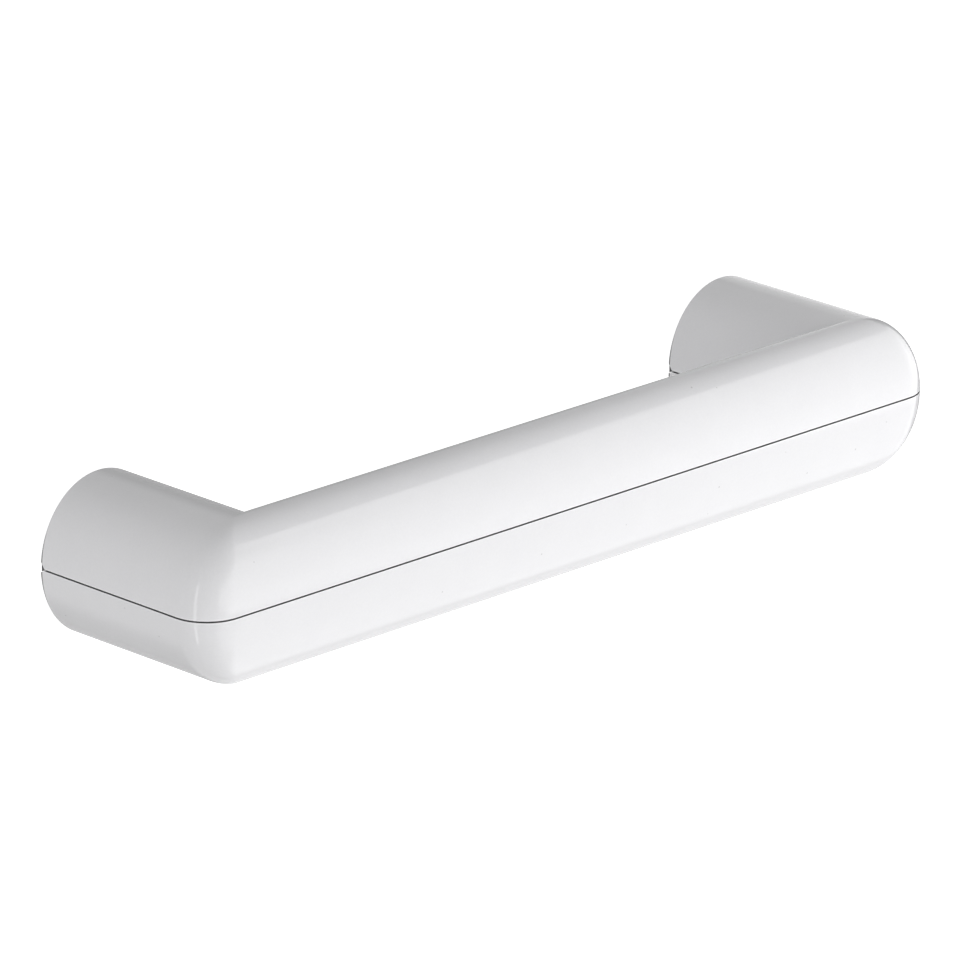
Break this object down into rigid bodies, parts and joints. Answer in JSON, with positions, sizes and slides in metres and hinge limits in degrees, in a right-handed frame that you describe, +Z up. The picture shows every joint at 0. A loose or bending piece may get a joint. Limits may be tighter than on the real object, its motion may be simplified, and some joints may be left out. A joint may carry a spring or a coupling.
{
  "type": "towel rail",
  "caption": "U-shaped white moulded towel rail: an upper and a lower shell clip together at a seam, round plates screwed to the wall, with a gap behind the bar for a towel.",
  "frame": {"origin": "on the wall plane, midway between the legs at the height of the seam, the centre of the four wall screws", "axes": "+X along the bar, +Y into the wall, +Z up"},
  "size_m": [0.3, 0.069, 0.0492],
  "materials": {
    "shell": "semi-gloss moulded white",
    "plate": "dark moulded"
  },
  "bodies": {
    "root": {"upper_shell": "shell", "lower_shell": "shell", "wall_plate_left": "plate", "wall_plate_right": "plate"}
  },
  "joints": []
}
